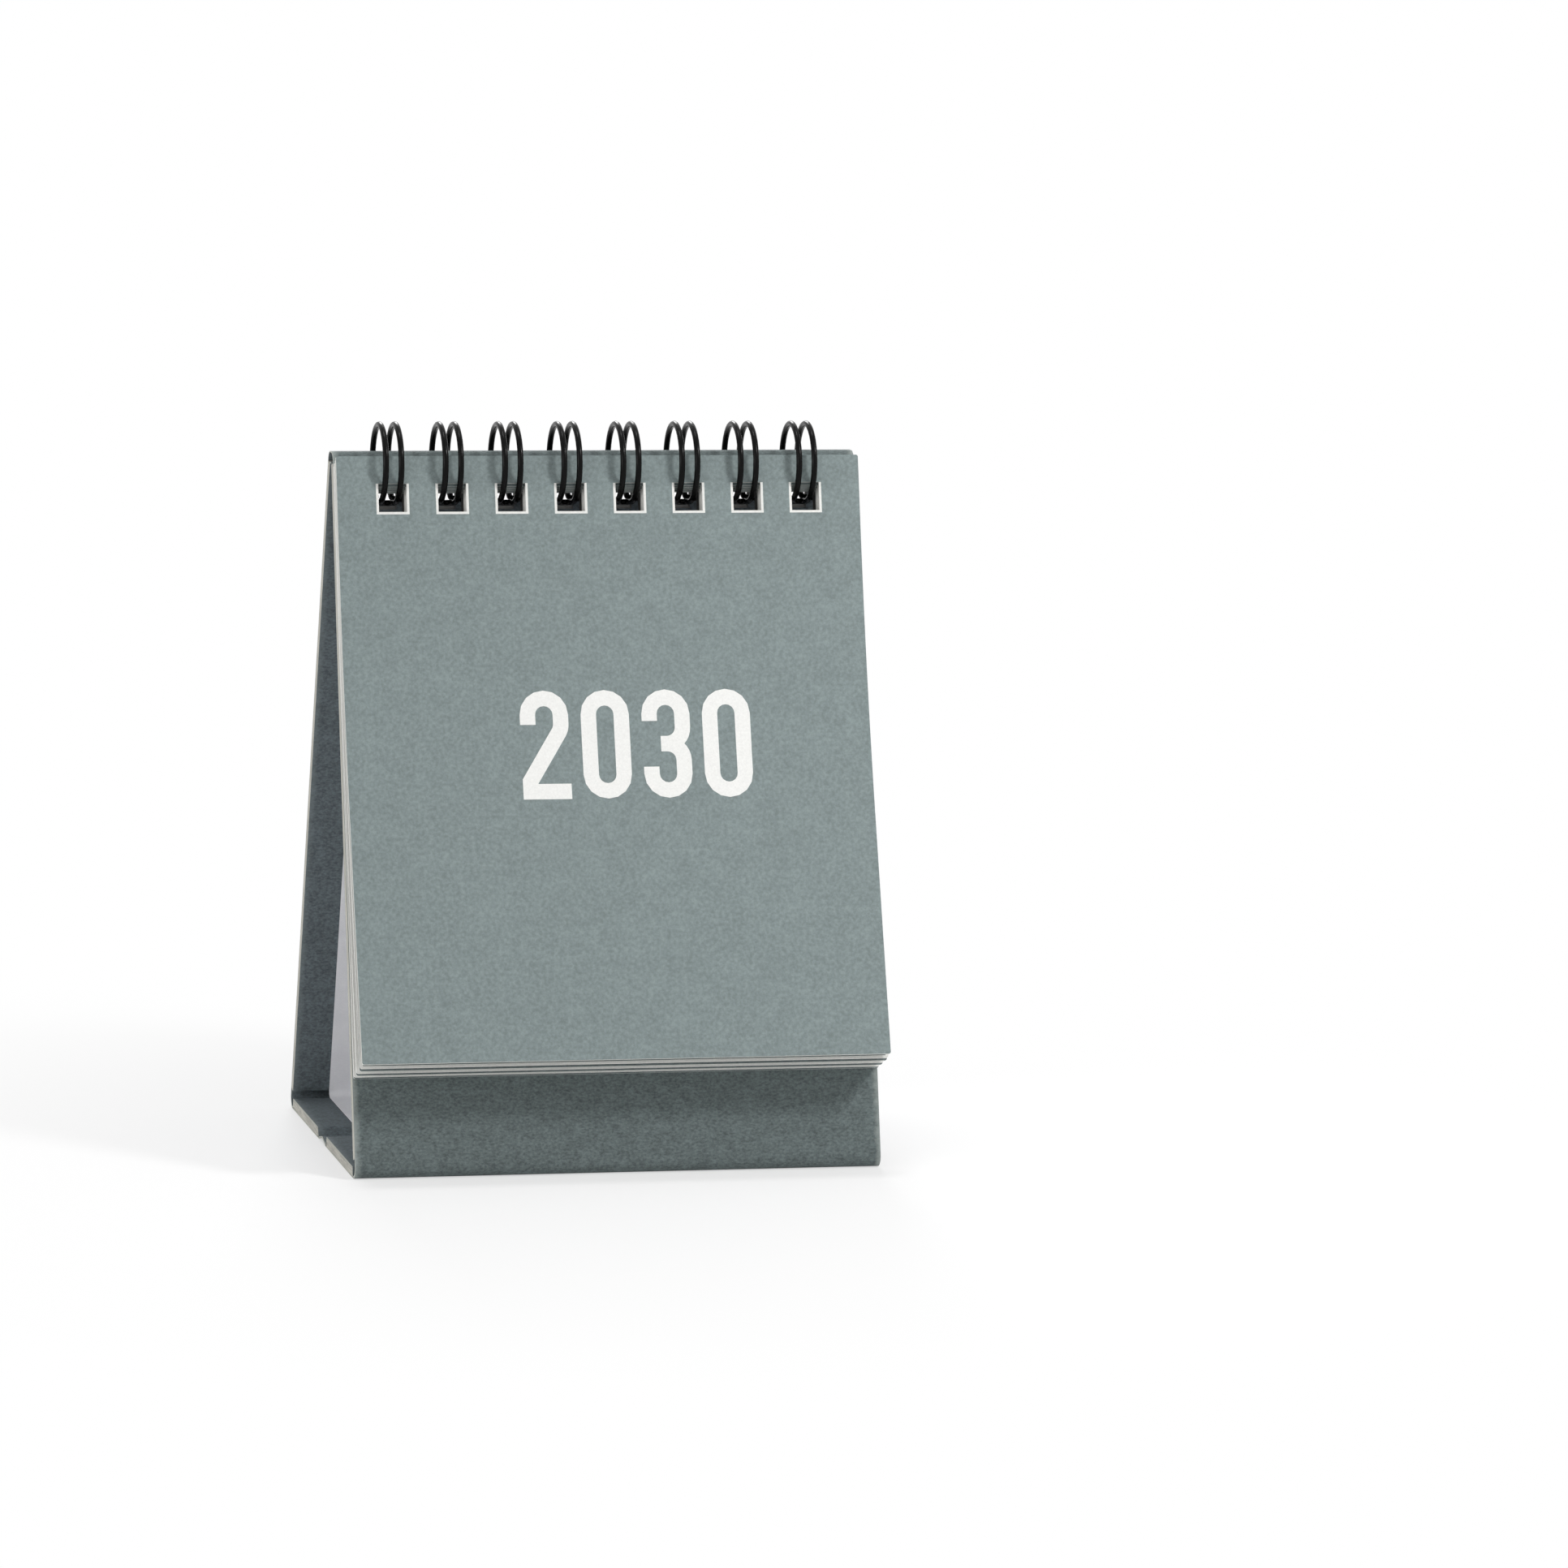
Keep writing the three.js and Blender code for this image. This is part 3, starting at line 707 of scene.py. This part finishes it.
# %% Print and card materials
def printed_card(name, ink):
    made, tree, shader, place = new_material(name)
    clouds = grain(tree, place, 3.0 * MM, detail=4, roughness=0.6)
    tooth = grain(tree, place, 0.5 * MM, detail=3, roughness=0.6)
    specks = grain(tree, place, 0.15 * MM, detail=1)
    tone = math_node(tree, "ADD", remap(tree, clouds, 0.3, 0.7, -0.15, 0.15),
                     remap(tree, tooth, 0.3, 0.7, -0.5, 0.5))
    tone = math_node(tree, "ADD", tone, remap(tree, specks, 0.3, 0.7, 0.4, 0.6))
    dark = tuple(part * 0.8 for part in ink[:3]) + (1,)
    light = tuple(part * 1.2 for part in ink[:3]) + (1,)
    tree.links.new(blend_colours(tree, tone, dark, light), shader.inputs["Base Color"])
    tree.links.new(remap(tree, tooth, 0.3, 0.7, 0.62, 0.78), shader.inputs["Roughness"])
    relief = math_node(tree, "ADD", tooth, math_node(tree, "MULTIPLY", specks, 0.4))
    bump = node(tree, "ShaderNodeBump", {"Height": relief, "Strength": 0.25, "Distance": 0.02 * MM})
    tree.links.new(bump.outputs["Normal"], shader.inputs["Normal"])
    shader.inputs["Specular IOR Level"].default_value = 0.35
    return made


def plain_card(name, tint, rough):
    made, tree, shader, place = new_material(name)
    fibres = grain(tree, place, 0.3 * MM, detail=4, roughness=0.7)
    dark = tuple(part * 0.88 for part in tint[:3]) + (1,)
    tree.links.new(blend_colours(tree, remap(tree, fibres, 0.3, 0.7, 0, 1), dark, tint),
                   shader.inputs["Base Color"])
    bump = node(tree, "ShaderNodeBump", {"Height": fibres, "Strength": 0.25, "Distance": 0.02 * MM})
    tree.links.new(bump.outputs["Normal"], shader.inputs["Normal"])
    shader.inputs["Roughness"].default_value = rough
    return made


cover_print = printed_card("cover_print", colour(127, 139, 139))
month_print = printed_card("month_print", colour(112, 123, 123))
card_back = plain_card("card_back", colour(222, 222, 216), 0.8)
card_edge = plain_card("card_edge", colour(240, 240, 236), 0.9)
white_ink = plain_card("white_ink", colour(246, 246, 243), 0.7)
print("card materials:", cover_print.name, month_print.name, card_back.name, card_edge.name)

# %% [markdown]
# ## Sheets that hang from the wire
#
# Each sheet hangs where the ring crosses its plane, a card's thickness in front of the one
# behind. A card that is held by its top edge and pressed forward by the rings curls a little,
# so the sheets fan out towards the table. A flat rectangle gets its corners and its row of
# holes first, with a thin white rim round each hole. Every other month sheet also keeps a white
# border, where the print stops short of the knife. The curl comes last: the card is cut along
# level lines and everything below a line is turned by a small step about it, line after line.
# The same curl then bends the ink.

# %% Sizes of the sheets
SHEETS = 6
CARD = 0.35 * MM
CARD_HEIGHT = 86 * MM
CARD_MARGIN = 3.9 * MM
CORNER = 0.3 * MM
STACK_STEP = CARD - 0.04 * MM
RIM = 0.34 * MM
BORDER = 0.38 * MM
COVER_GAP = 0.2 * MM
FAN = math.radians(1.05)
BENDS = [(9 + 6 * k + side * 1.5) * MM for k in range(7) for side in (-1, 1)]

ring_reach = FOOT_REACH + RING.y - STAND_Y
ring_inward = ring_reach * math.cos(LEAN) - RING.z * math.sin(LEAN)
ring_along = ring_reach * math.sin(LEAN) + RING.z * math.cos(LEAN)


def in_front(number):
    distance = 0.05 * MM + CARD / 2 + number * STACK_STEP
    return distance + COVER_GAP if number == SHEETS else distance


def hanging_point(number):
    gap = ring_inward + in_front(number)
    drop = math.sqrt(RING_RADIUS**2 - gap**2)
    return front_corner + FRONT_UP * (ring_along - drop) + FRONT_OUT * in_front(number)


slant = math.asin((ring_inward + in_front(SHEETS)) / RING_RADIUS)
hole_top = WIRE / 2 / math.cos(slant) + CARD / 2 * math.tan(slant) + 0.15 * MM
print("cover hangs from", [round(c / MM, 2) for c in hanging_point(SHEETS)], "mm")

# %% Cut and curl a sheet
def curl(bm, number):
    bend = Matrix.Rotation(-number * FAN / len(BENDS), 3, "X")
    hang = hanging_point(number)
    hinges = [hang - FRONT_UP * line for line in BENDS]
    for hinge in hinges:
        cut(bm, bm.faces, hinge, FRONT_UP)
    drops = {v: (hang - v.co).dot(FRONT_UP) for v in bm.verts}
    for i, line in enumerate(BENDS):
        here = hinges[i]
        below = [v for v, drop in drops.items() if drop > line + 1e-6]
        if below:
            bmesh.ops.rotate(bm, cent=here, matrix=bend, verts=below)
        hinges = [here + bend @ (p - here) if low > line else p for low, p in zip(BENDS, hinges)]


def card_sheet(number, slip, border):
    middle = hanging_point(number) + FRONT_UP * (hole_top + CARD_MARGIN - CARD_HEIGHT / 2)
    bm = rectangle(middle, FRONT_UP, CARD_HEIGHT)
    bmesh.ops.bevel(
        bm, geom=list(bm.verts), offset=CORNER, offset_type="OFFSET", segments=5, profile=0.5,
        affect="VERTICES", material=-1,
    )
    punch(bm, hanging_point(number) + FRONT_UP * (hole_top - HOLE / 2), FRONT_UP,
          rim=RIM, rim_material=2)
    if border:
        low = middle - FRONT_UP * (CARD_HEIGHT / 2 - border)
        cut(bm, bm.faces, low, FRONT_UP)
        for side in (-1, 1):
            cut(bm, bm.faces, ACROSS * side * (WIDTH / 2 - border), ACROSS)
        for face in bm.faces:
            spot = face.calc_center_median()
            if (spot - low).dot(FRONT_UP) < 0 or abs(spot.x) > WIDTH / 2 - border:
                face.material_index = 2
    curl(bm, number)
    bmesh.ops.translate(bm, verts=bm.verts, vec=ACROSS * slip)
    return bm


# %% Hang the month sheets
SLIPS = [0.10, -0.06, 0.04, -0.12, 0.07, -0.03]
for number, slip in enumerate(SLIPS):
    bm = card_sheet(number, slip * MM, BORDER if number % 2 else 0)
    name = f"month_sheet_{SHEETS - number}"
    sheet = finish_piece(bm, name, [month_print, card_back, card_edge], "stand",
                         wall=0.96 * STACK_STEP, smooth=30)
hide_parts("month_sheets")

# %% Hang the cover
cover = finish_piece(card_sheet(SHEETS, 0, 0), "cover_card", [cover_print, card_back, card_edge],
                     "cover", wall=CARD, smooth=30)
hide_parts("cover_sheet")

# %% [markdown]
# ## Numbers on the cards
#
# The cover shows one large year in white, in narrow figures with square ends, and the first month
# sheet shows its days as small plain figures. A figure is drawn as a pen would draw it: an edge
# as wide as the stroke is pulled along the straights and swung round the curves. That keeps
# every stroke the same width. The ink then gets the curl of its sheet and lies just on it. The
# strokes of a figure meet only at points, so each could face either way. All are turned to
# face out, because a shared point between two opposite faces has no clear direction and would
# become a spike when the ink gets its thickness.

# %% Draw figures with a broad pen
PEN_AXIS = Vector((0, 0, 1))


class Pen:
    def __init__(self, bm, x, y, heading, stroke):
        self.bm = bm
        self.heading = math.radians(heading)
        self.place = Vector((x, y, 0))
        self.stroke = stroke
        half = self.sideways() * stroke / 2
        ends = [bm.verts.new(self.place + half), bm.verts.new(self.place - half)]
        self.edge = [bm.edges.new(ends)]

    def sideways(self):
        return Vector((-math.sin(self.heading), math.cos(self.heading), 0))

    def straight(self, length):
        step = Vector((math.cos(self.heading), math.sin(self.heading), 0)) * length
        self.edge = pull(self.bm, self.edge, step)
        self.place += step
        return self

    def curve(self, radius, degrees, steps=8):
        angle = math.radians(degrees)
        side = 1 if degrees > 0 else -1
        hub = self.place + self.sideways() * radius * side
        self.edge = swing(self.bm, self.edge, hub, PEN_AXIS, angle, steps)
        self.place = hub + Matrix.Rotation(angle, 3, "Z") @ (self.place - hub)
        self.heading += angle
        return self


def drawn_since(bm, verts_before):
    fresh = [v for v in bm.verts if v not in verts_before]
    edges = (e for v in fresh for e in v.link_edges)
    faces = (f for v in fresh for f in v.link_faces)
    return each_once([*fresh, *edges, *faces])


def trim(bm, verts_before, point, normal):
    bmesh.ops.bisect_plane(bm, geom=drawn_since(bm, verts_before), dist=1e-6, plane_co=point,
                           plane_no=normal, clear_outer=True)


print("pen ready")

# %% The shapes of the ten figures
# Figures are drawn in a box one unit wide between stroke middles and HIGH units high.
HIGH, STROKE = 2.83, 0.47


def draw_figure(bm, figure):
    r, top = 0.5, HIGH
    before = set(bm.verts)
    if figure == 0:
        Pen(bm, 0, r, 90, STROKE).straight(top - 2 * r).curve(r, -180).straight(
            top - 2 * r).curve(r, -180)
    elif figure == 1:
        Pen(bm, 0.62, -STROKE / 2, 90, STROKE).straight(top + STROKE)
        flag = set(bm.verts)
        Pen(bm, 0.62 - STROKE / 2, top - 0.12, 205, STROKE * 0.8).straight(0.34)
        trim(bm, flag, Vector((0, top + STROKE / 2, 0)), Vector((0, 1, 0)))
    elif figure == 2:
        lean = math.degrees(math.atan2(top - 2 * r - STROKE / 2, 1.0))
        Pen(bm, 0, top - r - 0.3, 90, STROKE).straight(0.3).curve(r, -180).straight(0.28).curve(
            0.5, lean - 90, 4).straight(3)
        trim(bm, before, Vector((0, STROKE / 2, 0)), Vector((0, -1, 0)))
        trim(bm, before, Vector((-STROKE / 2, 0, 0)), Vector((-1, 0, 0)))
        Pen(bm, -STROKE / 2, 0, 0, STROKE).straight(1 + STROKE)
    elif figure == 3:
        Pen(bm, 0, top - r - 0.22, 90, STROKE).straight(0.22).curve(r, -180).straight(
            top / 2 - 2 * r).curve(r, -90).straight(0.18)
        trim(bm, before, Vector((0, top / 2, 0)), Vector((0, -1, 0)))
        bmesh.ops.mirror(bm, geom=drawn_since(bm, before), axis="Y", merge_dist=1e-5,
                         matrix=Matrix.Translation((0, -top / 2, 0)))
    elif figure == 4:
        Pen(bm, 0.72, -STROKE / 2, 90, STROKE).straight(top + STROKE)
        Pen(bm, 0.72 - STROKE / 2, 0.62, 180, STROKE).straight(0.95)
        Pen(bm, -0.24, 0.62 + STROKE / 2, 70, STROKE * 0.95).straight(2.2)
    elif figure == 5:
        Pen(bm, 1.1, top, 180, STROKE).straight(1.1 + STROKE / 2)
        Pen(bm, 0, top - STROKE / 2, 270, STROKE).straight(top / 2 - 0.2)
        Pen(bm, STROKE / 2, top / 2 + 0.1, 0, STROKE).straight(0.26).curve(r, -90).straight(
            top / 2 + 0.1 - 2 * r).curve(r, -180).straight(0.2)
    elif figure in (6, 9):
        Pen(bm, 1, top - r - 0.2, 90, STROKE).straight(0.2).curve(r, 180).straight(
            top - 2 * r).curve(r, 180).straight(0.55).curve(r, 140)
        if figure == 9:
            whole = [v for v in bm.verts if v not in before]
            bmesh.ops.rotate(bm, cent=(0.5, top / 2, 0), verts=whole,
                             matrix=Matrix.Rotation(math.pi, 3, "Z"))
    elif figure == 7:
        Pen(bm, -STROKE / 2, top, 0, STROKE).straight(1 + STROKE)
        Pen(bm, 1.0, top - STROKE / 2, 255, STROKE).straight(top)
        trim(bm, before, Vector((0, -STROKE / 2, 0)), Vector((0, -1, 0)))
    elif figure == 8:
        for bottom in (0, top / 2 - 0.06):
            side = top / 2 + 0.06 - 2 * r
            Pen(bm, 0, bottom + r, 90, STROKE).straight(side).curve(r, -180).straight(side).curve(
                r, -180)


def write_number(bm, text, unit, gap, centre, sheet):
    width = len(text) * (1 + STROKE) + (len(text) - 1) * gap
    for i, figure in enumerate(text):
        before = set(bm.verts)
        draw_figure(bm, int(figure))
        fresh = [v for v in bm.verts if v not in before]
        left = i * (1 + STROKE + gap) - width / 2 + STROKE / 2
        bmesh.ops.translate(bm, verts=fresh, vec=(left, -HIGH / 2, 0))
        place = hanging_point(sheet) + FRONT_OUT * CARD / 2
        axes = Matrix((ACROSS * unit, FRONT_UP * unit, FRONT_OUT)).transposed().to_4x4()
        middle = Vector((centre[0], 0, 0)) - FRONT_UP * centre[1]
        bmesh.ops.transform(bm, matrix=Matrix.Translation(place + middle) @ axes, verts=fresh)


def lay_ink(bm, number):
    bmesh.ops.remove_doubles(bm, verts=bm.verts, dist=0.001 * MM)
    curl(bm, number)
    bmesh.ops.recalc_face_normals(bm, faces=bm.faces)
    turned = [f for f in bm.faces if f.normal.dot(FRONT_OUT) < 0]
    bmesh.ops.reverse_faces(bm, faces=turned)
    return len(bm.faces)


INK = 0.02 * MM
print("figures are", round(HIGH + STROKE, 2), "units high and", round(1 + STROKE, 2), "wide")

# %% Print the year on the cover
YEAR = "2030"
ink = bmesh.new()
write_number(ink, YEAR, 4.7 * MM, 0.38, (3.7 * MM, 36.4 * MM), SHEETS)
print("faces of ink:", lay_ink(ink, SHEETS))
finish_piece(ink, "year_print", [white_ink], "cover", wall=2 * INK, smooth=30)

# %% Print the days on the first month sheet
days = bmesh.new()
for day in range(31):
    column, row = (day + 2) % 7, (day + 2) // 7
    place = ((column - 3) * 9.6 * MM, (22 + row * 9.4) * MM)
    write_number(days, f"{day + 1}", 1.05 * MM, 0.38, place, SHEETS - 1)
print("faces of ink:", lay_ink(days, SHEETS - 1))
finish_piece(days, "day_print", [white_ink], "stand", wall=2 * INK, smooth=30)

# %% [markdown]
# ## Table and light
#
# The calendar stands on a white table that runs out of sight. The table stays a real surface
# near the calendar, so it keeps the shadow, and fades into plain white further out, for camera
# and mirror rays only. A soft lamp close by at the upper right gives the shadows of the loops on
# the cover. A weak one fills from the left, one shines into the open side of the stand, one
# behind draws a light line along the tops of the loops, and one hangs overhead. The room itself
# gives an even pale light.

# %% Lay the table
floor_bm = bmesh.new()
bmesh.ops.create_grid(floor_bm, x_segments=8, y_segments=8, size=4)
floor_data = bpy.data.meshes.new("table_top")
floor_bm.to_mesh(floor_data)
floor_bm.free()
table_top = bpy.data.objects.new("table_top", floor_data)
bpy.context.collection.objects.link(table_top)
table_white, tree, shader, place = new_material("table_white")
shader.inputs["Base Color"].default_value = colour(246, 246, 246)
shader.inputs["Roughness"].default_value = 0.75
shader.inputs["Specular IOR Level"].default_value = 0.2
distance = node(tree, "ShaderNodeVectorMath", {0: place}, operation="LENGTH").outputs["Value"]
fade = node(tree, "ShaderNodeMapRange", {
    "Value": distance, "From Min": 0.03, "From Max": 0.17, "To Min": 0.5, "To Max": 1.0},
            interpolation_type="SMOOTHSTEP").outputs["Result"]
path = node(tree, "ShaderNodeLightPath")
seen = math_node(tree, "MAXIMUM", path.outputs["Is Camera Ray"], path.outputs["Is Glossy Ray"])
white = node(tree, "ShaderNodeEmission", {"Color": (1, 1, 1, 1), "Strength": 1.0})
mix = node(tree, "ShaderNodeMixShader", {
    0: math_node(tree, "MULTIPLY", fade, seen),
    1: shader.outputs["BSDF"],
    2: white.outputs["Emission"],
})
end = next(n for n in tree.nodes if n.type == "OUTPUT_MATERIAL")
tree.links.new(mix.outputs["Shader"], end.inputs["Surface"])
floor_data.materials.append(table_white)
table_top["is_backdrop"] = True
print("table", [round(s, 1) for s in table_top.dimensions], "m")

# %% Light the room
world = bpy.data.worlds.new("pale_room")
bpy.context.scene.world = world
world.use_nodes = True
tree = world.node_tree
tree.nodes.clear()
path = node(tree, "ShaderNodeLightPath")
seen = math_node(tree, "MAXIMUM", path.outputs["Is Camera Ray"],
                 path.outputs["Is Transmission Ray"])
seen = math_node(tree, "MAXIMUM", seen, path.outputs["Is Glossy Ray"])
room = node(tree, "ShaderNodeBackground", {"Color": (1, 1, 1, 1), "Strength": 0.38})
bright = node(tree, "ShaderNodeBackground", {"Color": (1, 1, 1, 1), "Strength": 1.0})
mix = node(tree, "ShaderNodeMixShader", {
    0: seen, 1: room.outputs["Background"], 2: bright.outputs["Background"],
})
node(tree, "ShaderNodeOutputWorld", {"Surface": mix.outputs["Shader"]})


def soft_lamp(name, where, size, power):
    data = bpy.data.lights.new(name, "AREA")
    data.shape, data.size, data.energy = "DISK", size, power
    lamp = bpy.data.objects.new(name, data)
    bpy.context.collection.objects.link(lamp)
    lamp.location = where
    lamp.rotation_mode = "QUATERNION"
    lamp.rotation_quaternion = (Vector(where) - TARGET).to_track_quat("Z", "Y")
    return lamp


soft_lamp("window_lamp", (0.23, -0.23, 0.32), 0.08, 0.8)
soft_lamp("ceiling_lamp", (-0.05, 0.05, 1.0), 0.25, 2.2)
soft_lamp("fill_lamp", (-0.9, -0.6, 0.35), 0.8, 1.1)
soft_lamp("tent_lamp", (-0.55, -0.12, 0.13), 0.2, 0.55)
soft_lamp("back_lamp", (0.05, 0.6, 0.42), 0.25, 1.5)

# %% [markdown]
# ## Colour settings, sizes and the end
#
# The Standard view shows a colour as it was mixed. The box of the finished model is kept beside
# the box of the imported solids, to see that no piece has grown out of it.

# %% Keep the sizes and finish
scene = bpy.context.scene
scene.view_settings.view_transform = "Standard"
final_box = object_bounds()
for name, box in (("packed", cad_box), ("dressed", final_box)):
    print(name, [[round(c / MM, 2) for c in corner] for corner in box], "mm")
